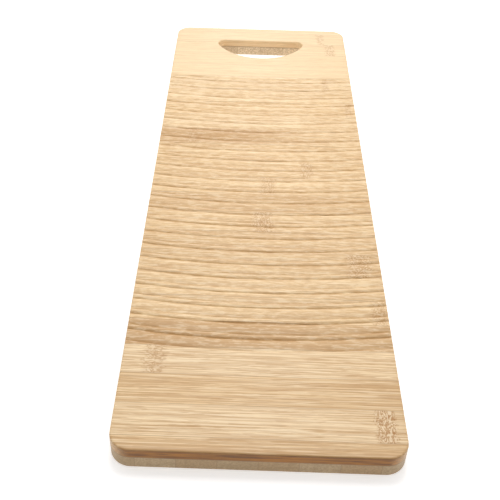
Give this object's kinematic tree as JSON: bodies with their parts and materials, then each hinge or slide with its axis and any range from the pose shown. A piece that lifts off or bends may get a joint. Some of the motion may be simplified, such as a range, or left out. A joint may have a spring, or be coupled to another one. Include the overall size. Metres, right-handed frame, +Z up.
{
  "type": "washboard",
  "caption": "Flat laminated bamboo washboard with curved cross ribs and a D-shaped hand hole, glued from a cross-grain top ply and a lengthwise base ply.",
  "frame": {"origin": "middle of the underside, where the board lies on a flat surface", "axes": "+X across the board, +Y along it towards the hand hole, +Z up out of the ribbed face"},
  "size_m": [0.16, 0.5, 0.015],
  "materials": {
    "top_bamboo": "smooth planed bamboo, satin, grain across the board",
    "base_bamboo": "smooth planed bamboo, satin, grain along the board"
  },
  "bodies": {
    "root": {"base_slat_1": "base_bamboo", "base_slat_2": "base_bamboo", "base_slat_3": "base_bamboo", "base_slat_4": "base_bamboo", "base_slat_4_handle_end": "base_bamboo", "base_slat_5": "base_bamboo", "base_slat_5_handle_end": "base_bamboo", "base_slat_6": "base_bamboo", "base_slat_7": "base_bamboo", "base_slat_8": "base_bamboo", "top_slat_01": "top_bamboo", "top_slat_02": "top_bamboo", "top_slat_03_left": "top_bamboo", "top_slat_03_right": "top_bamboo", "top_slat_04": "top_bamboo", "top_slat_05": "top_bamboo", "top_slat_06": "top_bamboo", "top_slat_07": "top_bamboo", "top_slat_08": "top_bamboo", "top_slat_09": "top_bamboo", "top_slat_10": "top_bamboo", "top_slat_11": "top_bamboo", "top_slat_12": "top_bamboo", "top_slat_13": "top_bamboo", "top_slat_14": "top_bamboo", "top_slat_15": "top_bamboo", "top_slat_16": "top_bamboo", "top_slat_17": "top_bamboo", "top_slat_18": "top_bamboo", "top_slat_19": "top_bamboo", "top_slat_20": "top_bamboo", "top_slat_21": "top_bamboo", "top_slat_22": "top_bamboo", "top_slat_23": "top_bamboo", "top_slat_24": "top_bamboo"}
  },
  "joints": []
}
